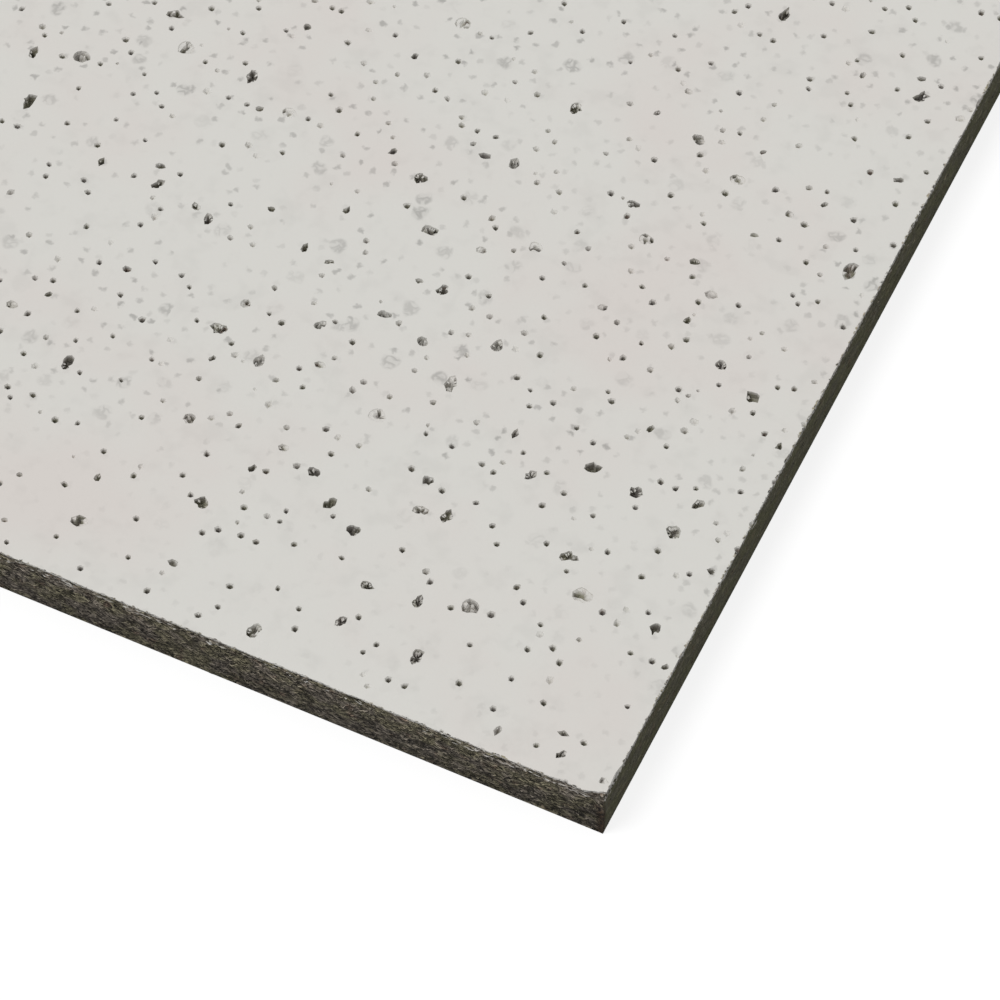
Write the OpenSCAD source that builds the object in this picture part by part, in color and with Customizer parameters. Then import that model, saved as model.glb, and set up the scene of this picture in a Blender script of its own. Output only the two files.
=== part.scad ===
// Lay-in ceiling tile: one square board of wet-felted mineral fibre with square-cut edges.
// The board lies face up. Its back is on z = 0, with the centre of the back at the origin.
// A toothed roller punches the face with fissures that soak up sound, before it is painted white.

/* [Board] */
// Side of the square board, a little under the module of the ceiling grid
tile_side = 595; // [295:5:620]
// Thickness of the board
tile_thickness = 15; // [12:0.5:20]

/* [Fissures] */
// Radius of a middle-sized round fissure where it breaks the face
fissure_radius = 1.4; // [0.8:0.1:2]
// Depth of the deepest fissures below the face
fissure_depth = 5; // [2:0.5:9]
// Step of the grid of sockets that hold the teeth of the roller
socket_step = 1; // [0.8:0.05:1.5]
// Least width of plain rim round the face, by which the tile hangs on the flanges of the grid
plain_rim = 3; // [1:0.5:15]

/* [Hidden] */

// Outlines of the teeth. Each is the turn of its first corner in degrees, then the reach of its
// corners at equal angles, as shares of the fissure's radius.
round_pit = [18, [1.1, 1.0, 1.1, 1.0, 1.2]];
slit = [60, [1.3, 0.7, 1.2, 0.7]];
fish = [180, [1.6, 0.8, 1.1, 1.2, 0.8]];
fir = [90, [1.4, 0.8, 1.2, 1.2, 0.8]];
rose = [0, [1.6, 1.2, 1.5, 1.5, 1.2]];
bone = [10, [1.6, 0.8, 1.0, 1.7, 0.9, 0.7]];
figure_eight = [30, [0.9, 1.6, 0.9, 0.9, 1.6, 0.9]];

// One repeat of the roller, in sockets: its size across and along the board, then the place of each
// tooth across and along from the corner where the punching starts, and the outline of the tooth.
repeat_size = [150, 200];
repeat = [
    [13, 6, slit], [87, 6, fir], [52, 15, figure_eight], [135, 15, fish], [71, 16, slit],
    [70, 27, bone], [58, 28, fir], [113, 31, round_pit], [47, 32, rose], [79, 39, round_pit],
    [87, 43, slit], [8, 44, fir], [26, 45, rose], [94, 49, round_pit], [68, 50, bone],
    [126, 50, round_pit], [62, 51, fir], [33, 53, bone], [70, 58, fish], [15, 69, rose],
    [50, 69, slit], [88, 69, rose], [119, 71, fir], [27, 75, round_pit], [131, 75, fish],
    [38, 77, bone], [13, 78, slit], [77, 84, figure_eight], [111, 86, slit], [88, 92, round_pit],
    [99, 95, bone], [72, 98, fir], [148, 102, fir], [90, 107, fir], [14, 110, round_pit],
    [24, 115, round_pit], [100, 121, bone], [76, 127, rose], [109, 134, round_pit], [145, 138, rose],
    [54, 140, rose], [91, 147, fir], [61, 148, bone], [8, 152, figure_eight], [42, 165, rose],
    [85, 168, figure_eight], [55, 172, round_pit], [120, 180, rose],
];

// Each column of repeats starts half a repeat further back than the one before it
repeats = [for (sockets = repeat_size) ceil(tile_side / (sockets * socket_step))];
function drop(column) = (column % 2) / 2 * repeat_size[1];

// Spread of the fissures about the middle size, and of their depths below the deepest
smallest = 0.85;
largest = 1.15;
shallowest = 0.6;

// Fissures that would reach past the punched field into the plain rim are left out
longest_reach = max([for (tooth = repeat) max(tooth[2][1])]) * largest * fissure_radius;
field_reach = tile_side / 2 - plain_rim - longest_reach;

// Height by which a cut runs on above the face
overcut = 1;

// A number from 0 to 1 for the k-th fissure, from the square of k times an irrational ratio
function scatter(k, ratio) = (k * k * ratio) % 1;
function between(low, high, share) = low + (high - low) * share;
size_ratio = sqrt(7);
depth_ratio = sqrt(11);

// Corner i of a tooth's outline, at a radius of 1
function corner(outline, i) =
    let (angle = outline[0] + i * 360 / len(outline[1]))
    outline[1][i] * [cos(angle), sin(angle)];

// The k-th fissure, punched straight down from the face
module fissure(outline, k) {
    radius = fissure_radius * between(smallest, largest, scatter(k, size_ratio));
    depth = fissure_depth * between(shallowest, 1, scatter(k, depth_ratio));
    translate([0, 0, tile_thickness - depth])
        linear_extrude(depth + overcut)
            polygon([for (i = [0 : len(outline[1]) - 1]) radius * corner(outline, i)]);
}

// Every fissure of the face, repeat by repeat from the corner at +X, -Y
module fissures() {
    for (column = [0 : repeats[0] - 1], row = [0 : repeats[1]], i = [0 : len(repeat) - 1]) {
        across = column * repeat_size[0] + repeat[i][0];
        along = row * repeat_size[1] + repeat[i][1] - drop(column);
        place = [tile_side / 2 - across * socket_step, along * socket_step - tile_side / 2];
        if (max(abs(place[0]), abs(place[1])) < field_reach)
            translate(place)
                fissure(repeat[i][2], (column * (repeats[1] + 1) + row) * len(repeat) + i);
    }
}

// The board with its punched face
module ceiling_tile() {
    color([0.83, 0.82, 0.80])
        difference() {
            translate([-tile_side / 2, -tile_side / 2, 0])
                cube([tile_side, tile_side, tile_thickness]);
            fissures();
        }
}

ceiling_tile();
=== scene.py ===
from collections import namedtuple

import bpy
import numpy as np
from mathutils import Matrix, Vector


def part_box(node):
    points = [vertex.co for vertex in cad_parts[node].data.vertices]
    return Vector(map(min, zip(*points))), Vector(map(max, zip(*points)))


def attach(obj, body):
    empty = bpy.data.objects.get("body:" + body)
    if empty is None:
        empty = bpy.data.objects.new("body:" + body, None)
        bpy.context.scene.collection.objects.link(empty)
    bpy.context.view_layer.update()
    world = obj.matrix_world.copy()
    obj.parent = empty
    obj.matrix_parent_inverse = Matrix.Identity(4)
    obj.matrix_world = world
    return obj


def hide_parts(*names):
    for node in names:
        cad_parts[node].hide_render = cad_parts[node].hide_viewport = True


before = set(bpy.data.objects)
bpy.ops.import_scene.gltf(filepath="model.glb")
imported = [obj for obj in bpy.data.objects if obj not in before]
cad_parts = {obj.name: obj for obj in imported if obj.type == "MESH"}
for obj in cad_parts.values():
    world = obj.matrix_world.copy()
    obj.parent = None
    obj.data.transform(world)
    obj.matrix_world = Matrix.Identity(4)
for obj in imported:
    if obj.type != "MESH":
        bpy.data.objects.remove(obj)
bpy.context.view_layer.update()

# Mineral fibre board
# The board is rock wool, clay and starch, felted from a slurry, dried and sawn. Two of its edges were sawn
# rough, which pulls out fibres and opens the layers under the face, and the other two were cut clean.
# Lengths are in millimetres, and MM turns them into the metres of the mesh and of its materials.
MM = 0.001
low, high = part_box("ceiling_tile")
tile_side = (high.x - low.x) / MM
half_side = tile_side / 2
face_height = (high.z - low.z) / MM
chance = np.random.default_rng(600)

# The sawn edge is a grid of rows up the board and of uneven columns round it. It goes anticlockwise from the
# corner at +X, -Y, past the right, back, left and front edges.
edge_roughness = (0.15, 1.0, 0.15, 1.0)
columns_per_side = 375
columns = 4 * columns_per_side
column_step = tile_side / columns_per_side
unevenness = 0.4
along_edge = (np.arange(columns) + chance.uniform(-unevenness, unevenness, columns)) * column_step
along_edge[::columns_per_side] = tile_side * np.arange(4)
roughness_along = np.repeat(edge_roughness, columns_per_side)
side_rows = 7
row_heights = np.linspace(0.6, face_height - 1.1, side_rows)


def felted_noise(shape, spread):
    """White noise blurred by a Gaussian of that spread in cells along each axis, at a deviation of 1.

    The blur is a product of spectra, so the noise joins up with itself end to end.
    """
    waves = np.fft.fft2(chance.standard_normal(shape))
    for axis, cells in enumerate(spread):
        gain = np.exp(-2 * (np.pi * np.fft.fftfreq(shape[axis]) * cells) ** 2)
        waves *= gain[:, None] if axis == 0 else gain[None, :]
    noise = np.fft.ifft2(waves).real
    return noise / noise.std()


def round_the_board(along, inset):
    """X and Y of points that far along the edges and drawn in by the inset.

    Each point lies on a square whose half side is the board's less the inset.
    """
    side, share = np.divmod(along / tile_side, 1)
    side = side.astype(int) % 4
    corners = np.array([(1, -1), (1, 1), (-1, 1), (-1, -1), (1, -1)])
    path = corners[side] + share[..., None] * (corners[side + 1] - corners[side])
    return path * (half_side - inset)[..., None]


def sawn_relief():
    """How far in each point of the sawn edge lies, up to the deepest.

    It is the roughness times felted noise in short and in long grains, with open layers just under the face.
    """
    deepest = 1.4
    layer_spread = 1.2
    shape = (side_rows, columns)
    grain = 0.25 + 0.16 * felted_noise(shape, (0.6, 0.9)) + 0.14 * felted_noise(shape, (1.3, 4))
    near_face = np.exp(-((row_heights - row_heights[-2]) / layer_spread) ** 2)[:, None]
    open_layers = 0.6 * near_face * felted_noise(shape, (0.5, 3)).clip(0, 1.6)
    return (roughness_along * (grain + open_layers)).clip(0, deepest)


def sawn_board(relief):
    """Points in rows round the board, from the back up the sawn edge to the face, and the faces between.

    The rows at the arris give way where it is frayed or chipped and where the corners are bruised. The face
    inside the last row is flat, with one strip along each side and one square in the middle. The back is a
    fan about its middle.
    """
    back_inset, foot_inset, face_inset, square_inset = 3.0, 0.1, 4.0, 6.0
    bruise_reach = 1.2
    from_corner = half_side - np.abs(along_edge % tile_side - half_side)
    bruise = np.exp(-(from_corner / bruise_reach) ** 2)
    weakness = 0.5 + 0.5 * roughness_along
    fraying = weakness * felted_noise((1, columns), (0, 0.6))[0]
    chips = weakness * (felted_noise((1, columns), (0, 1.0))[0] - 1.3).clip(0, 1.2)
    wander = (0.16 * felted_noise(relief.shape, (0.5, 0.8))).clip(-0.4, 0.4)
    insets = np.vstack([
        np.full((1, columns), back_inset),
        np.full((1, columns), foot_inset),
        relief,
        (0.04 + 0.06 * fraying + 0.4 * chips + 0.1 * bruise).clip(0),
        (0.08 + 0.1 * fraying + 0.7 * chips + 0.2 * bruise).clip(0),
        np.full((1, columns), face_inset),
    ])
    heights = np.vstack([
        np.zeros((2, columns)),
        row_heights[:, None] + wander,
        face_height - 0.35 - 0.25 * chips - 0.3 * bruise,
        face_height - 0.04 - 0.05 * chips - 0.08 * bruise,
        np.full((1, columns), face_height),
    ])
    spots = round_the_board(np.broadcast_to(along_edge, insets.shape), insets)
    points = np.concatenate([spots, heights[..., None]], axis=-1).reshape(-1, 3)
    square_spots = round_the_board(tile_side * np.arange(4), np.full(4, square_inset))
    square_points = np.column_stack([square_spots, np.full(4, face_height)])
    middle_of_back = np.zeros(3)

    corner = np.arange(insets.size).reshape(insets.shape)
    after = np.roll(corner, -1, axis=1)
    quads = np.stack([corner[:-1], after[:-1], after[1:], corner[1:]], axis=-1).reshape(-1, 4)
    square = insets.size + np.arange(4)
    of_side = columns_per_side * np.arange(4)[:, None] + np.arange(columns_per_side + 1)
    strips = np.column_stack([corner[-1][of_side % columns], np.roll(square, -1), square])
    back = np.stack([after[0], corner[0], np.full(columns, insets.size + 4)], axis=-1)
    return np.vstack([points, square_points, middle_of_back]), [back, quads, strips, square[None]]


def new_piece(name, points, face_sets):
    """An object at the origin, from points in millimetres and arrays that give the corners of its faces."""
    mesh = bpy.data.meshes.new(name)
    corners = np.concatenate([faces.ravel() for faces in face_sets])
    sizes = np.concatenate([np.full(len(faces), faces.shape[1]) for faces in face_sets])
    mesh.vertices.add(len(points))
    mesh.vertices.foreach_set("co", (points * MM).ravel())
    mesh.loops.add(len(corners))
    mesh.loops.foreach_set("vertex_index", corners)
    mesh.polygons.add(len(sizes))
    mesh.polygons.foreach_set("loop_start", np.cumsum(sizes) - sizes)
    mesh.update(calc_edges=True)
    mesh.shade_flat()
    piece = bpy.data.objects.new(name, mesh)
    bpy.context.scene.collection.objects.link(piece)
    return piece


def add_node(tree, kind, inputs=None, **settings):
    """A new node with those settings, and with each input linked to a socket or set to a value."""
    node = tree.nodes.new(kind)
    for name, value in settings.items():
        setattr(node, name, value)
    for name, value in (inputs or {}).items():
        if isinstance(value, bpy.types.NodeSocket):
            tree.links.new(value, node.inputs[name])
        else:
            node.inputs[name].default_value = value
    return node


def combine(tree, operation, first, second=0.0, third=0.0, clamp=False):
    """Numbers joined by that operation."""
    inputs = {0: first, 1: second, 2: third}
    return add_node(tree, "ShaderNodeMath", inputs, operation=operation, use_clamp=clamp).outputs[0]


def ramp(tree, value, start, end, first=0.0, last=1.0):
    """A smooth change from the first number to the last as the value goes from start to end."""
    inputs = {"Value": value, "From Min": start, "From Max": end, "To Min": first, "To Max": last}
    return add_node(tree, "ShaderNodeMapRange", inputs, interpolation_type="SMOOTHSTEP").outputs["Result"]


def blend_colours(tree, share, first, second):
    """A colour that goes from the first to the second as the share goes from 0 to 1."""
    return add_node(tree, "ShaderNodeMix", {0: share, 6: first, 7: second}, data_type="RGBA").outputs[2]


def multiply_colours(tree, first, second):
    """The product of two colours."""
    inputs = {0: 1.0, 6: first, 7: second}
    return add_node(tree, "ShaderNodeMix", inputs, data_type="RGBA", blend_type="MULTIPLY").outputs[2]


def grey_of(tree, value):
    """A grey of that value."""
    inputs = {"Red": value, "Green": value, "Blue": value}
    return add_node(tree, "ShaderNodeCombineColor", inputs).outputs["Color"]


def place_on_tile(tree):
    """X, Y and Z of a point of the tile, in metres."""
    where = add_node(tree, "ShaderNodeTexCoord").outputs["Object"]
    return add_node(tree, "ShaderNodeSeparateXYZ", {"Vector": where}).outputs


def facing_of_surface(tree):
    """X, Y and Z of the way that the surface faces."""
    normal = add_node(tree, "ShaderNodeNewGeometry").outputs["Normal"]
    return add_node(tree, "ShaderNodeSeparateXYZ", {"Vector": normal}).outputs


def noise_in_grains(tree, grain, drift=0.0, **inputs):
    """Noise in grains that many millimetres long on X, Y and Z, which wander up and down by the drift."""
    where = add_node(tree, "ShaderNodeTexCoord").outputs["Object"]
    if drift:
        sway = noise_in_grains(tree, (4, 4, 2), Detail=1.0)
        lift = combine(tree, "MULTIPLY_ADD", sway, 2 * drift * MM, -drift * MM)
        up = add_node(tree, "ShaderNodeCombineXYZ", {"Z": lift}).outputs["Vector"]
        where = add_node(tree, "ShaderNodeVectorMath", {0: where, 1: up}, operation="ADD").outputs["Vector"]
    scale = [1 / (MM * size) for size in grain]
    grains = add_node(tree, "ShaderNodeMapping", {"Vector": where, "Scale": scale}).outputs["Vector"]
    return add_node(tree, "ShaderNodeTexNoise", {"Vector": grains, "Scale": 1.0, **inputs}).outputs["Fac"]


def threads_in_grains(tree, grain, drift, width=0.07):
    """Threads along the middle level of stretched noise.

    The value is 1 on a thread, and 0 where the noise is off the middle by the width.
    """
    middle = 0.5
    noise = noise_in_grains(tree, grain, drift, Detail=1.5, Roughness=0.5, Distortion=0.4)
    off_middle = combine(tree, "ABSOLUTE", combine(tree, "SUBTRACT", noise, middle))
    return ramp(tree, off_middle, 0.0, width, 1.0, 0.0)


def new_group(name, outputs):
    """A shader node group with those named outputs, and its output node."""
    group = bpy.data.node_groups.new(name, "ShaderNodeTree")
    for socket, kind in outputs.items():
        group.interface.new_socket(socket, in_out="OUTPUT", socket_type=kind)
    return group, group.nodes.new("NodeGroupOutput")


def put_out(group, result, **values):
    """Sends each value to the group's output of that name."""
    for name, value in values.items():
        group.links.new(value, result.inputs[name])


def place_group(tree, group):
    """The outputs of a shader node group that is placed in a material."""
    return add_node(tree, "ShaderNodeGroup", node_tree=group).outputs


def fibre_group():
    """Matted mineral fibre: dark felt under pale threads, in patches of olive and grey with rusty stains.

    It is brown where the corners are bruised, most of all low down, and less far along the clean edges.
    """
    group, result = new_group("mineral_fibre", {
        "Colour": "NodeSocketColor", "Tint": "NodeSocketColor", "Height": "NodeSocketFloat",
        "Corner": "NodeSocketFloat"})
    felt = noise_in_grains(group, (1.6, 1.6, 0.5), drift=1.2, Detail=4.0, Roughness=0.7)
    long_threads = threads_in_grains(group, (3.4, 3.4, 0.8), drift=2.0)
    short_threads = threads_in_grains(group, (1.7, 1.7, 0.5), drift=3.0)
    clumps = noise_in_grains(group, (5, 5, 3), Detail=2.0)
    stains = noise_in_grains(group, (3.5, 3.5, 2.5), Detail=2.0)
    olive, grey, rust = (0.94, 0.85, 0.58, 1), (0.94, 0.82, 0.68, 1), (0.94, 0.72, 0.55, 1)
    bruise_brown = (0.27, 0.17, 0.105, 1)
    olive_to_grey = blend_colours(group, ramp(group, clumps, 0.38, 0.62), olive, grey)
    stained = blend_colours(group, ramp(group, stains, 0.58, 0.72), olive_to_grey, rust)
    place = place_on_tile(group)
    across, along = (combine(group, "ABSOLUTE", place[axis]) for axis in ("X", "Y"))
    narrowing = 2.5
    corner_reach = combine(group, "MULTIPLY_ADD", along, narrowing, across)
    furthest = (1 + narrowing) * half_side
    at_corner = ramp(group, corner_reach, (furthest - 4.5) * MM, (furthest - 1.2) * MM)
    low_down = ramp(group, place["Z"], 8 * MM, 12 * MM, 0.95, 0.3)
    bruise = combine(group, "MULTIPLY", at_corner, low_down)
    tint = blend_colours(group, bruise, stained, bruise_brown)
    threads = combine(group, "MAXIMUM", long_threads, short_threads)
    height = combine(group, "MULTIPLY_ADD", threads, 0.45, combine(group, "MULTIPLY", felt, 0.8))
    colour = multiply_colours(group, grey_of(group, ramp(group, height, 0.3, 0.85, 0.008, 0.34)), tint)
    put_out(group, result, Colour=colour, Tint=tint, Height=height, Corner=at_corner)
    return group


def paint_group():
    """Sprayed matt paint: off-white with a faint warm mottle, and the grain of the spray."""
    group, result = new_group("matt_paint", {"Colour": "NodeSocketColor", "Height": "NodeSocketFloat"})
    mottle = noise_in_grains(group, (45, 45, 45), Detail=3.0, Roughness=0.55)
    clouds = noise_in_grains(group, (6, 6, 6), Detail=2.0)
    spray = noise_in_grains(group, (0.9, 0.9, 0.9), Detail=4.0, Roughness=0.6)
    off_white, warm_white = (0.652, 0.641, 0.606, 1), (0.650, 0.614, 0.582, 1)
    mottled = blend_colours(group, ramp(group, mottle, 0.42, 0.72), off_white, warm_white)
    colour = multiply_colours(group, mottled, grey_of(group, ramp(group, clouds, 0.5, 0.75, 1.0, 0.955)))
    put_out(group, result, Colour=colour, Height=spray)
    return group


mineral_fibre = fibre_group()
matt_paint = paint_group()


def new_material(name, roughness):
    """A material with a Principled shader of that roughness, and its node tree."""
    material = bpy.data.materials.new(name)
    material.use_nodes = True
    shader = material.node_tree.nodes["Principled BSDF"]
    shader.inputs["Roughness"].default_value = roughness
    shader.inputs["Specular IOR Level"].default_value = 0.2
    return material, material.node_tree, shader


def finish_surface(tree, shader, colour, height, depth):
    """Sends a colour to the shader, and a height of that depth in millimetres to its normal."""
    bump = add_node(tree, "ShaderNodeBump", {"Height": height, "Distance": depth * MM})
    tree.links.new(colour, shader.inputs["Base Color"])
    tree.links.new(bump.outputs["Normal"], shader.inputs["Normal"])


def sawn_fibre_material():
    """The sawn edges and the back: bare fibre, paler towards the face, with flecks of paint under the arris.

    The clean edges, which face along X, are an even grey, with finer flecks that reach further down.
    """
    material, tree, shader = new_material("sawn_fibre", roughness=0.95)
    paint, fibre = place_group(tree, matt_paint), place_group(tree, mineral_fibre)
    place = place_on_tile(tree)
    paler = ramp(tree, place["Z"], 0.0, face_height * MM, 0.64, 1.14)
    bare = multiply_colours(tree, fibre["Colour"], grey_of(tree, paler))
    flakes = noise_in_grains(tree, (1.5, 1.5, 0.35), drift=0.5, Detail=3.0, Roughness=0.65)
    overspray = ramp(tree, place["Z"], (face_height - 1.7) * MM, face_height * MM, -0.6, 0.22)
    sideways = combine(tree, "ABSOLUTE", facing_of_surface(tree)["X"])
    clean_cut = ramp(tree, sideways, 0.4, 0.8, 0.0, 0.85)
    even_grey = multiply_colours(tree, fibre["Tint"], (0.126, 0.139, 0.112, 1))
    evened = blend_colours(tree, clean_cut, bare, even_grey)
    specks = noise_in_grains(tree, (0.8, 0.8, 0.8), Detail=2.0)
    specks = combine(tree, "MULTIPLY_ADD", specks, 3.0, ramp(tree, clean_cut, 0.4, 0.8, -1.7, -0.75))
    near_face = ramp(tree, place["Z"], (face_height - 4.0) * MM, (face_height - 1.2) * MM, -0.6, 0.1)
    specks = combine(tree, "ADD", specks, near_face)
    flecks = combine(tree, "MAXIMUM", flakes, specks)
    flecks = combine(tree, "MULTIPLY_ADD", fibre["Corner"], 0.3, flecks)
    share = ramp(tree, combine(tree, "ADD", overspray, flecks), 0.52, 0.66)
    colour = blend_colours(tree, share, evened, paint["Colour"])
    finish_surface(tree, shader, colour, fibre["Height"], depth=0.6)
    return material


# Punched and painted face
# Before it is painted, the soft board runs under a toothed roller and a bed of needles. The teeth tear open
# the fissures, the needles leave pinholes, and blunt ones only dent the skin. The paint is sprayed on last,
# so it runs some way down into the pits. Each pit is a closed shape that is cut out of the board.
fissure_radius = 1.4
fissure_depth = 5
plain_rim = 3
smallest, largest, shallowest, opening_spread = 0.85, 1.15, 0.6, 0.8
size_ratio, depth_ratio, opening_ratio = np.sqrt((7, 11, 5))

# Places of the finishes in the tile's list of materials
FACE, BARE_PIT, FILLED_PIT, CLOGGED_PIT, EDGE = range(5)

# Outlines of the teeth: the turn of the first corner in degrees, and the reach of the corners at equal
# angles, as shares of the fissure's radius
round_pit = (18, (1.1, 1.0, 1.1, 1.0, 1.2))
slit = (60, (1.3, 0.7, 1.2, 0.7))
fish = (180, (1.6, 0.8, 1.1, 1.2, 0.8))
fir = (90, (1.4, 0.8, 1.2, 1.2, 0.8))
rose = (0, (1.6, 1.2, 1.5, 1.5, 1.2))
bone = (10, (1.6, 0.8, 1.0, 1.7, 0.9, 0.7))
figure_eight = (30, (0.9, 1.6, 0.9, 0.9, 1.6, 0.9))

# What a tooth leaves: how far the fissure is open, how frayed its outline is, and its finish. Below 0 most
# of the torn skin stays hanging in the fissure, and above 0 most of it is gone.
wide = (1.2, 0.17, BARE_PIT)
torn = (0.1, 0.17, BARE_PIT)
clogged = (0.4, 0.1, CLOGGED_PIT)
shut = (-1.6, 0.07, FILLED_PIT)

# One repeat of the roller: its size, then each tooth's place across and along from the corner at +X, -Y, its
# outline and what it leaves
REPEAT_SIZE = (150, 200)
ROLLER = (
    (13, 6, slit, wide), (87, 6, fir, torn), (52, 15, figure_eight, wide), (135, 15, fish, torn),
    (71, 16, slit, torn), (70, 27, bone, torn), (58, 28, fir, torn), (113, 31, round_pit, wide),
    (47, 32, rose, clogged), (79, 39, round_pit, wide), (87, 43, slit, wide), (8, 44, fir, wide),
    (26, 45, rose, shut), (94, 49, round_pit, wide), (68, 50, bone, torn), (126, 50, round_pit, clogged),
    (62, 51, fir, wide), (33, 53, bone, torn), (70, 58, fish, torn), (15, 69, rose, torn),
    (50, 69, slit, clogged), (88, 69, rose, shut), (119, 71, fir, clogged), (27, 75, round_pit, wide),
    (131, 75, fish, torn), (38, 77, bone, wide), (13, 78, slit, torn), (77, 84, figure_eight, clogged),
    (111, 86, slit, clogged), (88, 92, round_pit, clogged), (99, 95, bone, clogged), (72, 98, fir, clogged),
    (148, 102, fir, wide), (90, 107, fir, wide), (14, 110, round_pit, wide), (24, 115, round_pit, clogged),
    (100, 121, bone, torn), (76, 127, rose, shut), (109, 134, round_pit, wide), (145, 138, rose, shut),
    (54, 140, rose, shut), (91, 147, fir, clogged), (61, 148, bone, torn), (8, 152, figure_eight, torn),
    (42, 165, rose, shut), (85, 168, figure_eight, wide), (55, 172, round_pit, clogged),
    (120, 180, rose, shut),
)

# Small teeth between those of the roller, in the same repeat
FINE_TEETH = (
    (2, 4, rose, shut), (28, 6, figure_eight, torn), (15, 11, bone, torn), (111, 14, fish, torn),
    (137, 27, fir, torn), (2, 36, slit, torn), (107, 44, slit, torn), (103, 52, rose, shut),
    (3, 63, round_pit, wide), (129, 67, slit, torn), (106, 76, rose, shut), (58, 78, figure_eight, torn),
    (129, 84, rose, shut), (31, 92, figure_eight, torn), (23, 98, rose, shut), (3, 100, fir, torn),
    (117, 103, bone, torn), (124, 104, fir, torn), (96, 107, bone, torn), (136, 111, round_pit, wide),
    (55, 118, rose, shut), (120, 118, fir, torn), (87, 121, rose, shut), (36, 123, fir, torn),
    (34, 132, rose, shut), (118, 138, slit, torn), (41, 139, bone, torn), (98, 146, bone, torn),
    (32, 152, bone, torn), (27, 161, rose, shut), (126, 166, fir, torn), (21, 167, slit, torn),
    (40, 175, slit, torn), (67, 175, slit, torn), (8, 181, bone, torn), (63, 184, rose, shut),
)

# The bed of needles in the same repeat: sharp needles leave deep pinholes, and worn ones stop short
SHARP_NEEDLES = (
    (9, 0), (29, 0), (39, 0), (147, 3), (100, 4), (129, 4), (113, 5), (19, 6), (51, 7), (55, 7), (97, 8),
    (138, 9), (31, 10), (79, 10), (10, 11), (63, 11), (121, 11), (41, 13), (61, 14), (97, 14), (81, 15),
    (22, 16), (133, 17), (87, 18), (31, 19), (68, 19), (124, 21), (143, 22), (5, 23), (43, 23), (109, 24),
    (106, 26), (23, 27), (31, 27), (97, 27), (101, 27), (26, 30), (51, 30), (89, 30), (78, 31), (130, 31),
    (42, 32), (116, 32), (31, 34), (58, 34), (95, 34), (104, 34), (139, 34), (5, 36), (10, 36), (120, 36),
    (95, 37), (37, 38), (148, 38), (67, 39), (85, 40), (40, 41), (20, 43), (29, 43), (118, 43), (104, 45),
    (136, 46), (11, 47), (32, 49), (49, 49), (52, 53), (115, 53), (145, 53), (39, 54), (16, 55), (93, 55),
    (58, 57), (66, 57), (26, 58), (75, 59), (7, 60), (97, 61), (141, 61), (16, 63), (44, 63), (33, 65),
    (58, 66), (61, 67), (41, 68), (69, 69), (76, 69), (107, 69), (148, 70), (0, 71), (25, 71), (47, 71),
    (110, 73), (127, 73), (54, 74), (137, 75), (19, 80), (23, 80), (15, 82), (41, 83), (119, 83), (143, 83),
    (123, 84), (6, 85), (46, 85), (102, 85), (146, 85), (58, 86), (108, 88), (26, 89), (54, 89), (60, 90),
    (0, 91), (64, 92), (42, 95), (44, 97), (62, 100), (7, 102), (30, 105), (12, 106), (45, 107), (145, 108),
    (22, 110), (53, 110), (66, 110), (80, 110), (43, 113), (86, 113), (10, 115), (6, 116), (34, 118),
    (71, 120), (61, 122), (45, 124), (108, 125), (49, 127), (141, 127), (87, 128), (36, 129), (27, 132),
    (97, 133), (40, 135), (69, 135), (3, 137), (15, 138), (140, 138), (128, 139), (17, 140), (11, 141),
    (61, 144), (135, 144), (139, 147), (67, 149), (18, 150), (44, 150), (4, 151), (98, 152), (103, 152),
    (26, 153), (54, 154), (9, 158), (117, 159), (23, 160), (43, 160), (62, 162), (2, 163), (142, 163),
    (13, 166), (33, 166), (53, 168), (116, 169), (133, 170), (22, 171), (148, 171), (6, 174), (47, 178),
    (112, 179), (15, 180), (137, 182), (104, 184), (3, 186), (79, 186), (22, 188), (146, 188), (52, 189),
    (68, 189), (93, 190), (128, 191), (115, 193), (11, 194), (62, 194), (101, 196), (27, 197), (38, 197),
    (86, 197), (140, 197), (73, 198),
)

WORN_NEEDLES = (
    (98, 34), (60, 36), (16, 42), (128, 48), (98, 49), (81, 50), (118, 55), (105, 57), (88, 60), (129, 61),
    (113, 68), (1, 69), (125, 70), (5, 71), (85, 71), (96, 73), (119, 73), (88, 75), (95, 76), (67, 77),
    (0, 78), (78, 78), (104, 79), (86, 84), (35, 88), (85, 88), (8, 91), (115, 91), (125, 91), (77, 93),
    (95, 94), (24, 95), (83, 97), (79, 98), (117, 99), (141, 99), (135, 100), (29, 102), (27, 104),
    (68, 104), (138, 104), (77, 105), (82, 105), (38, 107), (0, 108), (111, 109), (112, 112), (36, 115),
    (50, 116), (50, 118), (3, 120), (19, 120), (80, 124), (120, 124), (13, 125), (68, 126), (19, 127),
    (89, 130), (65, 132), (128, 132), (116, 135), (47, 137), (56, 137), (120, 142), (78, 144), (84, 144),
    (123, 145), (14, 148), (102, 148), (81, 149), (129, 150), (107, 152), (88, 153), (108, 154), (131, 155),
    (16, 156), (85, 157), (113, 158), (73, 159), (88, 159), (127, 159), (136, 159), (106, 163), (70, 165),
    (95, 168), (101, 169), (26, 170), (74, 175), (51, 177), (33, 180), (44, 184), (43, 189),
)

# Marks of one kind on the face, and how a punch shapes them
Marks = namedtuple("Marks", "places reach depths opening finish")
Punch = namedtuple("Punch", "marks mouth_rise mouth_width floor_widths shallow deep")


def tooth_reach(teeth, sides):
    """Reach of each tooth at equal angles, drawn from corner to corner in step with the angle."""
    angles = np.arange(sides) * 360 / sides
    rows = []
    for turn, reach in teeth:
        corners = turn + np.arange(len(reach)) * 360 / len(reach)
        rows.append(np.interp(angles, corners, reach, period=360))
    return np.array(rows)


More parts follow.
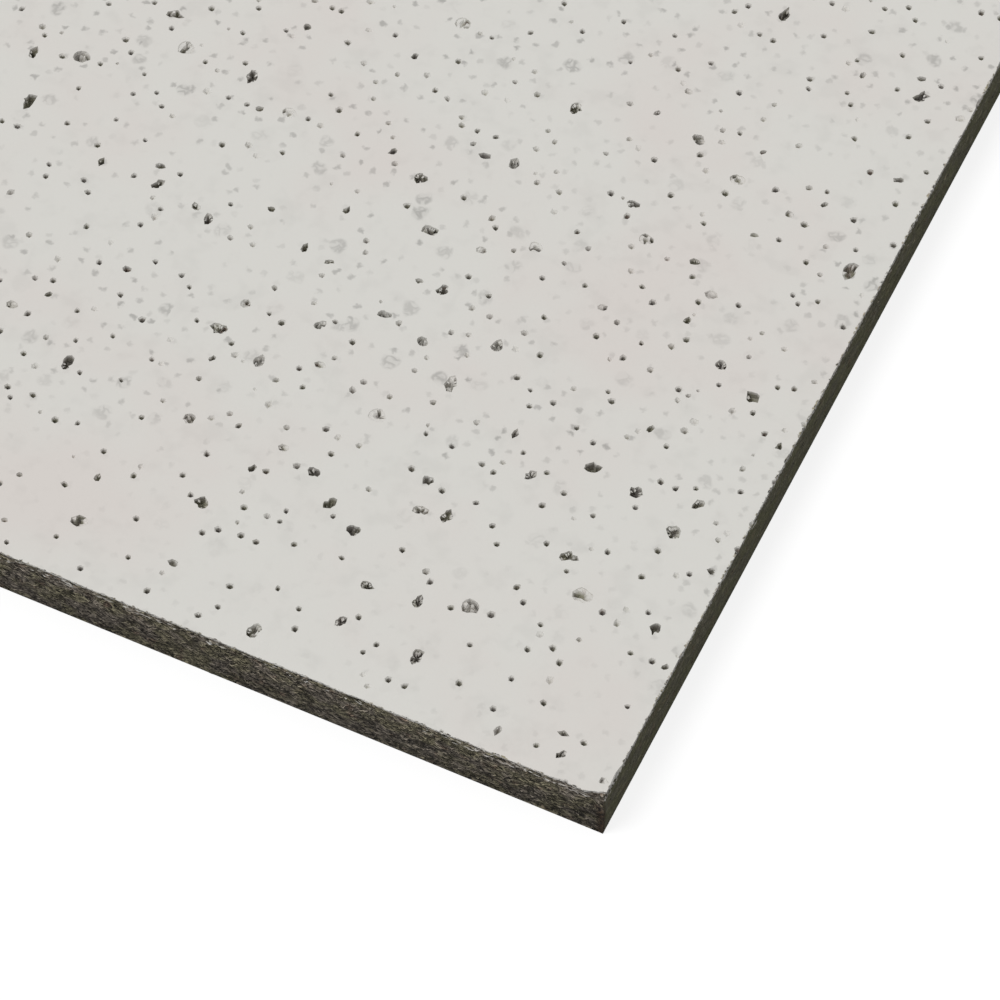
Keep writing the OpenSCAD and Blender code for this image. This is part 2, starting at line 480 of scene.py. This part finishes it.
def ragged(reach, deviation):
    """Reach that is frayed by that deviation, as a share of itself, and by 0.3 of itself at most."""
    most = 0.3
    return reach * (1 + deviation * chance.standard_normal(reach.shape)).clip(1 - most, 1 + most)


def scatter(running, ratio):
    """A number from 0 to 1 for a running number: what its square times the ratio leaves past a whole."""
    return (running * running * ratio) % 1


def in_each_repeat(sockets):
    """Places of a repeat's sockets all over the board, which socket each is, and a running number.

    Each column of repeats starts half a repeat further back than the one before it.
    """
    repeats_across, repeats_along = (int(np.ceil(tile_side / size)) for size in REPEAT_SIZE)
    shape = (repeats_across, repeats_along + 1, len(sockets))
    column, row, socket = (index.ravel() for index in np.indices(shape))
    spots = np.array(sockets)[socket]
    across = column * REPEAT_SIZE[0] + spots[:, 0]
    along = (row - column % 2 / 2) * REPEAT_SIZE[1] + spots[:, 1]
    running = (column * (repeats_along + 1) + row) * len(sockets) + socket
    return np.column_stack([half_side - across, along - half_side]), socket, running


def punched_by_teeth(sockets, radius, depth, sides, rim):
    """Marks of teeth in each repeat that stay clear of the rim, or run past the edges where it is below 0.

    Their sizes, depths and openings follow their running numbers.
    """
    across, along, teeth, states = zip(*sockets)
    places, socket, running = in_each_repeat(list(zip(across, along)))
    radii = radius * (smallest + (largest - smallest) * scatter(running, size_ratio))
    depths = depth * (shallowest + (1 - shallowest) * scatter(running, depth_ratio))
    reach = tooth_reach(teeth, sides)[socket] * radii[:, None]
    opening, fraying, finish = np.array(states)[socket].T
    opening = opening + opening_spread * (scatter(running, opening_ratio) - 0.5)
    longest = max(max(corners) for turn, corners in teeth) * largest * radius
    inside = np.abs(places).max(axis=1) < half_side - rim - longest
    frayed = ragged(reach[inside], fraying[inside, None])
    return Marks(places[inside], frayed, depths[inside], opening[inside], finish[inside].astype(int))


def wide_open(places, reach, depths, finish):
    """Marks without torn skin in them, which all open right down and have one finish."""
    right_down = 3.0
    return Marks(places, reach, depths, np.full(len(places), right_down), np.full(len(places), finish))


def punched_by_needles(sockets, sides, radii, depths, finish):
    """Pinholes of needles in each repeat, a little off their sockets, some of them cut open by the saw."""
    play, overrun = 0.3, 0.4
    places = in_each_repeat(sockets)[0]
    places = places + chance.uniform(-play, play, places.shape)
    places = places[np.abs(places).max(axis=1) < half_side + overrun]
    radius = chance.uniform(*radii, (len(places), 1))
    reach = ragged(radius * np.ones(sides), deviation=0.13)
    return wide_open(places, reach, chance.uniform(*depths, len(places)), finish)


def punched_at_random(count, sides, radii, depths, finish):
    """Dents of blunt needles anywhere on the face."""
    places = chance.uniform(-half_side, half_side, (count, 2))
    radius = chance.uniform(*radii, (count, 1))
    reach = ragged(radius * np.ones(sides), deviation=0.16)
    return wide_open(places, reach, chance.uniform(*depths, count), finish)


def clear_of_earlier(places, radii, gap):
    """Marks each place that keeps the gap to every place before it in the list."""
    x, y = places.T.astype(np.float32)
    distance = np.hypot(np.subtract.outer(x, x), np.subtract.outer(y, y))
    too_near = distance < np.add.outer(radii, radii) + gap
    return ~np.tril(too_near, -1).any(axis=1)


def logistic(value):
    """A number that swings from 0 to 1 as the value goes from below 0 to above it."""
    steepness = 2.5
    return 1 / (1 + np.exp(-steepness * value))


def tip_share(opening):
    """Share of its depth at which a pit's tip lies: from 0.3 where it is shut to 1 where it is open."""
    least = 0.3
    return least + (1 - least) * logistic(opening)


def pit_shapes(marks, punch):
    """Points and faces of closed pits, each a stack of rings that runs down to a tip.

    The mouth's ring stands above the face. A ring of the torn floor has a width, as a share of the pit's
    reach, and each of its points lies at a share of the depth that swings from shallow to deep. The swing is
    noise that a point has in common with its neighbour, plus the pit's opening, on a logistic curve, so that
    most points lie near one end or the other, as flaps and cracks do. The tip's depth follows the opening.
    """
    pits, sides = marks.reach.shape
    angles = 2 * np.pi * np.arange(sides) / sides
    noise = chance.standard_normal((pits, len(punch.floor_widths), sides))
    swing = logistic(noise + np.roll(noise, 1, axis=2) + marks.opening[:, None, None])
    floor = -(punch.shallow + (punch.deep - punch.shallow) * swing) * marks.depths[:, None, None]
    levels = np.concatenate([np.full((pits, 1, sides), punch.mouth_rise), floor], axis=1)
    spread = marks.reach[:, None, :] * np.array([punch.mouth_width, *punch.floor_widths])[:, None]
    rings = np.stack([
        marks.places[:, 0, None, None] + spread * np.cos(angles),
        marks.places[:, 1, None, None] + spread * np.sin(angles),
        face_height + levels,
    ], axis=-1)
    off_centre = 0.2 * marks.reach.min(axis=1, keepdims=True) * chance.uniform(-1, 1, marks.places.shape)
    tip_levels = face_height - marks.depths * tip_share(marks.opening)
    tips = np.column_stack([marks.places + off_centre, tip_levels])
    points = np.concatenate([rings.reshape(pits, -1, 3), tips[:, None]], axis=1)

    ring = np.arange(spread.shape[1] * sides).reshape(-1, sides)
    after = np.roll(ring, -1, axis=1)
    tip = np.full(sides, ring.size)
    first = np.arange(pits)[:, None, None] * (ring.size + 1)
    walls = np.stack([ring[1:], after[1:], after[:-1], ring[:-1]], axis=-1).reshape(-1, 4) + first
    ends = np.stack([ring[-1], tip, after[-1]], axis=-1) + first
    mouths = ring[:1] + first
    return points.reshape(-1, 3), [faces.reshape(-1, faces.shape[-1]) for faces in (walls, ends, mouths)]


# Punches in the order in which they claim their places
punches = [
    Punch(
        punched_by_teeth(ROLLER, fissure_radius, fissure_depth, sides=12, rim=plain_rim),
        mouth_rise=0.5, mouth_width=1.06, floor_widths=(0.86, 0.45), shallow=0.04, deep=0.65),
    Punch(
        punched_by_teeth(FINE_TEETH, radius=0.95, depth=3.5, sides=8, rim=-3),
        mouth_rise=0.5, mouth_width=1.08, floor_widths=(0.68,), shallow=0.08, deep=0.8),
    Punch(
        punched_by_needles(SHARP_NEEDLES, sides=6, radii=(0.74, 1.0), depths=(3.0, 4.5), finish=BARE_PIT),
        mouth_rise=0.1, mouth_width=1.06, floor_widths=(0.7,), shallow=0.07, deep=0.09),
    Punch(
        punched_by_needles(WORN_NEEDLES, sides=6, radii=(0.7, 1.0), depths=(0.9, 1.8), finish=FILLED_PIT),
        mouth_rise=0.1, mouth_width=1.06, floor_widths=(), shallow=0, deep=0),
    Punch(
        punched_at_random(count=1000, sides=5, radii=(0.5, 1.1), depths=(0.4, 1.1), finish=FILLED_PIT),
        mouth_rise=0.1, mouth_width=1.1, floor_widths=(), shallow=0, deep=0),
]
gap_between_pits = 0.2
every_place = np.concatenate([punch.marks.places for punch in punches])
every_radius = np.concatenate([punch.marks.reach.max(axis=1) * punch.mouth_width for punch in punches])
clear = clear_of_earlier(every_place, every_radius, gap_between_pits)

kept_marks, pit_points, pit_faces, pit_finishes = [], [], [], []
claimed = points_so_far = 0
for punch in punches:
    kept = clear[claimed:claimed + len(punch.marks.places)]
    claimed += len(kept)
    marks = Marks(*(values[kept] for values in punch.marks))
    points, face_sets = pit_shapes(marks, punch)
    kept_marks.append(marks)
    pit_faces += [faces + points_so_far for faces in face_sets]
    pit_finishes += [np.repeat(marks.finish, len(faces) // len(marks.finish)) for faces in face_sets]
    pit_points.append(points)
    points_so_far += len(points)
pits = new_piece("pits", np.concatenate(pit_points), pit_faces)

edge_relief = sawn_relief()
board_points, board_faces = sawn_board(edge_relief)
tile = new_piece("punched_board", board_points, board_faces)


def scattered_cells(tree, spacing, sway):
    """Distance from the middle of scattered cells in shares of their spacing, and a number for each cell.

    Noise as fine as a third of the spacing pulls the cells out of round by up to the sway, in millimetres.
    """
    where = add_node(tree, "ShaderNodeTexCoord").outputs["Object"]
    inputs = {"Vector": where, "Scale": 3 / (spacing * MM), "Detail": 2.0}
    pull = add_node(tree, "ShaderNodeTexNoise", inputs).outputs["Color"]
    inputs = {0: pull, 1: (2 * sway * MM,) * 3, 2: where}
    pulled = add_node(tree, "ShaderNodeVectorMath", inputs, operation="MULTIPLY_ADD").outputs["Vector"]
    inputs = {"Vector": pulled, "Scale": 1 / (spacing * MM)}
    cells = add_node(tree, "ShaderNodeTexVoronoi", inputs, voronoi_dimensions="2D").outputs
    pick = add_node(tree, "ShaderNodeSeparateColor", {"Color": cells["Color"]}).outputs["Red"]
    return cells["Distance"], pick


def marks_thin_paint_and_painted_shade(tree):
    """Grey of marks that the paint has filled: 1 on plain skin, and a little less in the marks.

    The grey is partly thinner paint over the fibre and partly painted shade, which stands in for the
    shading of shallow dents that have no shape of their own. Needles leave small smears and teeth leave
    curls. A wide noise gathers them in some parts of the face, and there are fewer towards the rough ends
    of the board.
    """
    from_middle = combine(tree, "ABSOLUTE", place_on_tile(tree)["Y"])
    thinned = ramp(tree, from_middle, (half_side - 75) * MM, (half_side - 10) * MM, 1.0, 0.3)
    patches = ramp(tree, noise_in_grains(tree, (60, 60, 60), Detail=1.0), 0.4, 0.6, 0.4, 1.0)
    gathered = combine(tree, "MULTIPLY", patches, thinned)
    distance, pick = scattered_cells(tree, spacing=4.5, sway=1.2)
    shade = combine(tree, "MULTIPLY", ramp(tree, pick, 0.3, 1.0, 0.0, 0.36), gathered)
    smears = ramp(tree, distance, 0.05, 0.24, shade, 0.0)
    distance, pick = scattered_cells(tree, spacing=13, sway=1.5)
    shade = combine(tree, "MULTIPLY", ramp(tree, pick, 0.3, 1.0, 0.0, 0.34), gathered)
    inside = ramp(tree, distance, 0.09, 0.18, shade, 0.0)
    lines = threads_in_grains(tree, (2.2, 2.2, 2.2), drift=0, width=0.16)
    curls = combine(tree, "MULTIPLY", inside, combine(tree, "MULTIPLY_ADD", lines, 0.75, 0.25))
    return combine(tree, "SUBTRACT", 1.0, combine(tree, "MAXIMUM", smears, curls))


def painted_face_material():
    """The sprayed face, with bare fibre where the paint has broken away along the arris.

    It has broken away a little further in along the clean edges.
    """
    material, tree, shader = new_material("painted_face", roughness=0.85)
    paint, fibre = place_group(tree, matt_paint), place_group(tree, mineral_fibre)
    place = place_on_tile(tree)
    further_in = 0.1
    across = combine(tree, "ADD", combine(tree, "ABSOLUTE", place["X"]), further_in * MM)
    reach = combine(tree, "MAXIMUM", across, combine(tree, "ABSOLUTE", place["Y"]))
    breaks = noise_in_grains(tree, (1.2, 1.2, 1.2), Detail=4.0, Roughness=0.65)
    near_edge = ramp(tree, reach, (half_side - 1.0) * MM, half_side * MM, -0.3, 0.06)
    bare = ramp(tree, combine(tree, "ADD", breaks, near_edge), 0.5, 0.64)
    # The skin is greyed in the marks: partly thinner paint, and partly painted shade of dents that are not
    # shaped
    skin = multiply_colours(tree, paint["Colour"], grey_of(tree, marks_thin_paint_and_painted_shade(tree)))
    colour = blend_colours(tree, bare, skin, fibre["Colour"])
    finish_surface(tree, shader, colour, paint["Height"], depth=0.03)
    return material


def pit_material(name, cover):
    """Walls and floors of pits: paint where it could run in from above, and further down bare fibre with
    painted light.

    The cover says how much paint they got.
    """
    material, tree, shader = new_material(name, roughness=0.95)
    paint, fibre = place_group(tree, matt_paint), place_group(tree, mineral_fibre)
    crumbs = noise_in_grains(tree, (0.6, 0.6, 0.6), Detail=3.0, Roughness=0.6)
    place = place_on_tile(tree)
    upward = facing_of_surface(tree)["Z"]
    here, hereabouts = noise_in_grains(tree, (7, 7, 7)), noise_in_grains(tree, (60, 60, 60), Detail=1.0)
    sprayed = combine(tree, "ADD", here, hereabouts)
    reached = ramp(tree, place["Z"], (face_height - 1.4) * MM, (face_height - 0.2) * MM)
    reached = combine(tree, "MULTIPLY_ADD", upward, 0.35, combine(tree, "ADD", reached, cover - 1.45))
    reached = combine(tree, "MULTIPLY_ADD", sprayed, 0.8, reached)
    share = combine(tree, "MULTIPLY_ADD", crumbs, 0.5, reached, clamp=True)
    # The bare fibre in the pits is paler than on the sawn edges: painted light that lifts the shade inside
    # the pits
    pit_fibre_with_painted_light = multiply_colours(tree, fibre["Tint"], (0.305, 0.325, 0.36, 1))
    colour = blend_colours(tree, share, pit_fibre_with_painted_light, paint["Colour"])
    finish_surface(tree, shader, colour, crumbs, depth=0.3)
    return material


# The chip that is gone from the corner at +X, -Y: how far it reaches along the front edge, along the right
# edge and down the corner
chip_reach = np.array([5.0, 1.9, 4.5])


def chip_shape(sides):
    """Points and faces of the chip, a pit whose rim on the face runs straight from one edge to the other.

    At an angle, the rim is as far off as 1 divided by the sum of the cosine over the reach along the front
    edge and the sine over the reach along the right edge.
    """
    angles = 2 * np.pi * np.arange(sides) / sides
    reach = 1 / (np.abs(np.cos(angles)) / chip_reach[0] + np.abs(np.sin(angles)) / chip_reach[1])
    corner = np.array([[half_side, -half_side]])
    opening = np.zeros(1)
    depth = chip_reach[2] / tip_share(opening)
    rim = ragged(reach[None], deviation=0.06)
    marks = Marks(corner, rim, depth, opening, np.array([EDGE]))
    break_off = Punch(
        marks, mouth_rise=0.5, mouth_width=1.1, floor_widths=(0.75, 0.5), shallow=0.1, deep=0.45)
    return pit_shapes(marks, break_off)


chip = new_piece("chip", *chip_shape(sides=20))
tile_finishes = (
    painted_face_material(),
    pit_material("punched_fibre", cover=0.1),
    pit_material("filled_pit", cover=0.22),
    pit_material("clogged_pit", cover=0.9),
    sawn_fibre_material(),
)
for piece in (tile, pits, chip):
    for material in tile_finishes:
        piece.data.materials.append(material)

# The board's last faces are painted: a row of quads, four strips and the square in the middle
painted_faces = columns + 4 + 1
tile_kinds = np.full(len(tile.data.polygons), EDGE)
tile_kinds[-painted_faces:] = FACE
tile.data.polygons.foreach_set("material_index", tile_kinds)
pits.data.polygons.foreach_set("material_index", np.concatenate(pit_finishes))
chip.data.polygons.foreach_set("material_index", np.full(len(chip.data.polygons), EDGE))


def cut_away(piece, shapes):
    """Takes the closed shapes out of the piece, whose new walls keep the shapes' material."""
    punching = piece.modifiers.new("punching", "BOOLEAN")
    punching.operation = "DIFFERENCE"
    punching.solver = "MANIFOLD"
    punching.material_mode = "INDEX"
    punching.object = shapes
    solid = piece.evaluated_get(bpy.context.evaluated_depsgraph_get())
    cut = bpy.data.meshes.new_from_object(solid)
    piece.modifiers.clear()
    piece.data = cut
    bpy.data.objects.remove(shapes)


cut_away(tile, pits)
cut_away(tile, chip)
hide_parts("ceiling_tile")
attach(tile, "root")

# Torn paint in the pits
# Shreds of the board's skin that the teeth pushed in and left hanging from the rims of the pits. The spray
# painted them with the face.
points_per_shred = 6
shred_lean, shred_twist = 0.35, 0.4


def shred_shapes(places, angles, reach, sizes, levels):
    """Points and faces of shreds: eight-sided flakes that hang down from the rim of a pit to its middle.

    The tips lie along the radius, across it and above and below, each at its own size from the middle. The
    lean is the slope up to the rim, and the twist is the most that a flake slopes to one side.
    """
    lean, twist = np.full(len(angles), shred_lean), chance.uniform(-shred_twist, shred_twist, len(angles))
    out = np.stack([np.cos(angles), np.sin(angles), lean], axis=-1)
    side = np.stack([-np.sin(angles), np.cos(angles), twist], axis=-1)
    up = np.cross(out, side)
    middles = np.column_stack([places + reach[:, None] * out[:, :2], face_height - levels])
    arms = sizes[:, :, None] * np.stack([out, side, up], axis=1)
    points = middles[:, None] + np.concatenate([arms, -arms], axis=1)
    first = points_per_shred * np.arange(len(angles))[:, None, None]
    above = [(0, 1, 2), (1, 3, 2), (3, 4, 2), (4, 0, 2)]
    below = [(1, 0, 5), (3, 1, 5), (4, 3, 5), (0, 4, 5)]
    turns = np.array(above + below)
    return points.reshape(-1, 3), [(turns + first).reshape(-1, 3)]


def shreds_in(marks, most):
    """Places, angles, reach, sizes and levels of up to so many shreds in each pit clear of the edges.

    The level of a shred keeps its highest tip below the face.
    """
    clear_of_edge, share_of_reach = 2.5, 0.72
    whole = np.flatnonzero(np.abs(marks.places).max(axis=1) < half_side - clear_of_edge)
    pit = np.repeat(whole, chance.integers(0, most + 1, len(whole)))
    corner = chance.integers(marks.reach.shape[1], size=len(pit))
    angles = 2 * np.pi * corner / marks.reach.shape[1]
    reach = marks.reach[pit, corner]
    least_size, most_size = (0.25, 0.15, 0.06), (0.45, 0.3, 0.12)
    sizes = reach[:, None] * chance.uniform(least_size, most_size, (len(pit), 3))
    half_heights = shred_lean * sizes[:, 0] + shred_twist * sizes[:, 1] + sizes[:, 2]
    levels = half_heights + chance.uniform(0.02, 0.4, len(pit))
    return marks.places[pit], angles, share_of_reach * reach, sizes, levels


fissures, fine_fissures, pinholes = kept_marks[:3]
shred_sets = [shreds_in(fissures, most=9), shreds_in(fine_fissures, most=4), shreds_in(pinholes, most=1)]
shreds = new_piece("torn_paint", *shred_shapes(*(np.concatenate(values) for values in zip(*shred_sets))))
shreds.data.materials.append(tile_finishes[BARE_PIT])
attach(shreds, "root")

# Loose fibres on the sawn edges
# The saw pulls strands of rock wool out of the board. They are fast in it at one end or both, and lie matted
# along the cut.
points_per_spindle = 5


def relief_at(along, heights):
    """Inset of the sawn edge at points that far along it and at those heights, between its own points."""
    column = np.interp(along, np.append(along_edge, 4 * tile_side), np.arange(columns + 1))
    row = np.interp(heights, row_heights, np.arange(side_rows))
    left, under = np.floor(column).astype(int), np.floor(row).astype(int).clip(0, side_rows - 2)
    across, above = column - left, row - under
    left, right = left % columns, (left + 1) % columns
    lower = (1 - across) * edge_relief[under, left] + across * edge_relief[under, right]
    upper = (1 - across) * edge_relief[under + 1, left] + across * edge_relief[under + 1, right]
    return (1 - above) * lower + above * upper


def spindle_shapes(along, heights, insets, outward, upward):
    """Points and faces of spindles along the edges, each from a tip past a three-cornered middle to a tip.

    The places of both tips and of the middle are given. The corners of the middle stand round it at equal
    angles, as far out and as far up as its thickness each way.
    """
    angles = np.radians((90, 210, 330))
    corner_insets = insets[:, 1, None] - outward[:, None] * np.cos(angles)
    corner_heights = heights[:, 1, None] + upward[:, None] * np.sin(angles)
    corner_along = np.repeat(along[:, 1, None], 3, axis=1)
    all_along, all_insets, all_heights = (
        np.column_stack([tips[:, 0], corners, tips[:, 2]])
        for tips, corners in ((along, corner_along), (insets, corner_insets), (heights, corner_heights)))
    spots = round_the_board(all_along, all_insets)
    points = np.concatenate([spots, all_heights[..., None]], axis=-1).reshape(-1, 3)
    first = points_per_spindle * np.arange(len(along))[:, None, None]
    turns = np.array([(0, 1, 2), (0, 2, 3), (0, 3, 1), (4, 2, 1), (4, 3, 2), (4, 1, 3)])
    return points, [(turns + first).reshape(-1, 3)]


def on_the_chip(along, heights, insets):
    """Marks each spindle that has a point in or close by the place of the chip.

    The chip is where the distances from the corner, as shares of the chip's reach, add up to less than 1.
    """
    close_by = 1.15
    corner = np.array([half_side, -half_side, face_height])
    points = np.concatenate([round_the_board(along, insets), heights[..., None]], axis=-1)
    return (np.abs(points - corner) / chip_reach).sum(axis=-1).min(axis=1) < close_by


def matted_spindles(count, share_of_rough, lengths, thickness, heights, slope):
    """Spindles that lie on the sawn edges, bent up or down, with their middles out and their tips tucked in.

    The share of them on the two rough edges is given, and the rest lie on the clean ones.
    """
    standing_out, least_inset = 0.2, 0.02
    clear_of_corner, clear_of_back, clear_of_face = 0.1, 0.2, 0.3
    rough = np.array(edge_roughness) > 0.5
    side = chance.choice(4, (count, 1), p=np.where(rough, share_of_rough, 1 - share_of_rough) / 2)
    length = chance.uniform(*lengths, (count, 1))
    step = np.array([-0.5, 0, 0.5])
    along = (side + chance.uniform(0.002, 0.998, (count, 1))) * tile_side + step * length
    along = along.clip(side * tile_side + clear_of_corner, (side + 1) * tile_side - clear_of_corner)
    tilt, bend = slope * chance.standard_normal((2, count, 1))
    rise = chance.uniform(*heights, (count, 1)) + length * (tilt * step + bend * np.abs(step))
    rise = rise.clip(clear_of_back, face_height - clear_of_face)
    tucked_in = np.array([0.1, -1, 0.1]) * chance.uniform(0.0, standing_out, (count, 1))
    thick = chance.uniform(*thickness, count)
    insets = (relief_at(along, rise) + tucked_in).clip(least_inset)
    kept = ~on_the_chip(along, rise, insets)
    return along[kept], rise[kept], insets[kept], thick[kept]


def add_shade(piece, shades):
    """Gives each spindle of a piece its own shade from 0 to 1, as an attribute that its material reads."""
    attribute = piece.data.attributes.new("shade", "FLOAT", "POINT")
    attribute.data.foreach_set("value", np.repeat(shades, points_per_spindle))


def loose_fibre_material():
    """Strands from dark to pale, in the tints of the board."""
    material, tree, shader = new_material("loose_fibre", roughness=0.9)
    fibre = place_group(tree, mineral_fibre)
    shade = add_node(tree, "ShaderNodeAttribute", attribute_name="shade").outputs["Fac"]
    dark, pale = (0.012, 0.012, 0.012, 1), (0.53, 0.53, 0.53, 1)
    grey = blend_colours(tree, shade, dark, pale)
    finish_surface(tree, shader, multiply_colours(tree, fibre["Tint"], grey), fibre["Height"], depth=0.05)
    return material


along, heights, insets, thick = matted_spindles(
    count=31000, share_of_rough=0.98, lengths=(0.7, 2.8), thickness=(0.06, 0.18),
    heights=(0.3, face_height - 0.4), slope=0.32)
fibres = new_piece("edge_fibres", *spindle_shapes(along, heights, insets, thick, thick))
mostly_dark = chance.beta(0.75, 2.2, len(thick))
paler_above = 0.5 + 0.68 * heights[:, 1] / face_height
add_shade(fibres, (mostly_dark * paler_above).clip(0, 1))
fibres.data.materials.append(loose_fibre_material())
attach(fibres, "root")

# Layers lifted along the arris
# Under the paint the sawn board splits into thin layers of felt. Their pale ends stick out in short flat
# flakes, which are fast in the board behind.
along, heights, insets, thick = matted_spindles(
    count=1800, share_of_rough=0.92, lengths=(0.8, 4.0), thickness=(0.05, 0.12),
    heights=(face_height - 2.8, face_height - 0.3), slope=0.08)
layer_inset, layer_width = 0.25, 3 * thick
layers = new_piece(
    "lifted_layers", *spindle_shapes(along, heights, insets.clip(layer_inset), layer_width, thick))
add_shade(layers, chance.uniform(0.2, 0.9, len(thick)))


def lifted_layer_material():
    """Ends of layers: pale fibre with some of the paint on it."""
    material, tree, shader = new_material("lifted_layer", roughness=0.9)
    paint, fibre = place_group(tree, matt_paint), place_group(tree, mineral_fibre)
    shade = add_node(tree, "ShaderNodeAttribute", attribute_name="shade").outputs["Fac"]
    bare = multiply_colours(tree, fibre["Tint"], (0.2, 0.2, 0.2, 1))
    colour = blend_colours(tree, shade, bare, paint["Colour"])
    finish_surface(tree, shader, colour, fibre["Height"], depth=0.05)
    return material


layers.data.materials.append(lifted_layer_material())
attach(layers, "root")

# Floor and light
# A white floor under even light, with a soft lamp high on the front left, so that the front edge is lit a
# little more than the right one.
floor_reach = 4000
floor_corners = np.array([(-1, -1, 0), (1, -1, 0), (1, 1, 0), (-1, 1, 0)]) * floor_reach
floor = new_piece("floor", floor_corners, [np.array([(0, 1, 2, 3)])])


def seen_rays(tree):
    """1 for rays from the camera, also by way of gloss or glass, and 0 for the rays that light the tile."""
    rays = add_node(tree, "ShaderNodeLightPath").outputs
    seen = combine(tree, "MAXIMUM", rays["Is Camera Ray"], rays["Is Glossy Ray"])
    return combine(tree, "MAXIMUM", seen, rays["Is Transmission Ray"])


def floor_material():
    """A floor that takes the tile's shadow, and is lifted to white where the camera sees it."""
    material = bpy.data.materials.new("white_floor")
    material.use_nodes = True
    tree = material.node_tree
    tree.nodes.clear()
    dull_grey, full_lift = (0.25, 0.25, 0.25, 1), 0.8
    matt = add_node(tree, "ShaderNodeBsdfDiffuse", {"Color": dull_grey})
    strength = combine(tree, "MULTIPLY", seen_rays(tree), full_lift)
    lift = add_node(tree, "ShaderNodeEmission", {"Strength": strength})
    both = add_node(tree, "ShaderNodeAddShader", {0: matt.outputs[0], 1: lift.outputs[0]})
    add_node(tree, "ShaderNodeOutputMaterial", {"Surface": both.outputs[0]})
    return material


floor.data.materials.append(floor_material())

sky_strength = 0.6
sky = bpy.data.worlds.new("soft_sky")
sky.use_nodes = True
sky_light = sky.node_tree.nodes["Background"]
sky_light.inputs["Color"].default_value = (1, 1, 1, 1)
strength = ramp(sky.node_tree, seen_rays(sky.node_tree), 0.0, 1.0, sky_strength, 1.0)
sky.node_tree.links.new(strength, sky_light.inputs["Strength"])
bpy.context.scene.world = sky


def placed(right, back, place):
    """The matrix of an object at a place, with its X to the right and its Z to the back."""
    matrix = np.eye(4)
    matrix[:3] = np.column_stack([right, np.cross(back, right), back, place])
    return Matrix(matrix)


to_lamp = np.array([-0.35, -0.33, 0.88])
to_lamp /= np.linalg.norm(to_lamp)
lamp_right = np.cross((0, 0, 1), to_lamp)
lamp_right /= np.linalg.norm(lamp_right)
lamp = bpy.data.lights.new("soft_lamp", "SUN")
lamp.energy = 1.45
lamp.angle = np.radians(25)
lamp_holder = bpy.data.objects.new("soft_lamp", lamp)
lamp_holder.matrix_world = placed(lamp_right, to_lamp, to_lamp)
bpy.context.scene.collection.objects.link(lamp_holder)

# Camera
# It looks down on the corner at +X, -Y from the front, with a long lens, as far off as the photograph's was.
azimuth, elevation = np.radians((25.44, 55.91))
distance, aside, above = 1071.3, -22.3, 63.9
focal_length, film_width = 180.4, 36
visible_corner = np.array([half_side, -half_side, face_height])
right = np.array([np.cos(azimuth), np.sin(azimuth), 0])
outward = np.array([np.sin(azimuth), -np.cos(azimuth), 0])
back = outward * np.cos(elevation) + np.array([0, 0, np.sin(elevation)])
stand = visible_corner + distance * back + aside * right + above * np.cross(back, right)
view = bpy.data.cameras.new("camera")
view.lens = focal_length
view.sensor_width = film_width
camera = bpy.data.objects.new("camera", view)
camera.matrix_world = placed(right, back, stand * MM)
bpy.context.scene.collection.objects.link(camera)
bpy.context.scene.camera = camera
bpy.context.scene.view_settings.view_transform = "Standard"
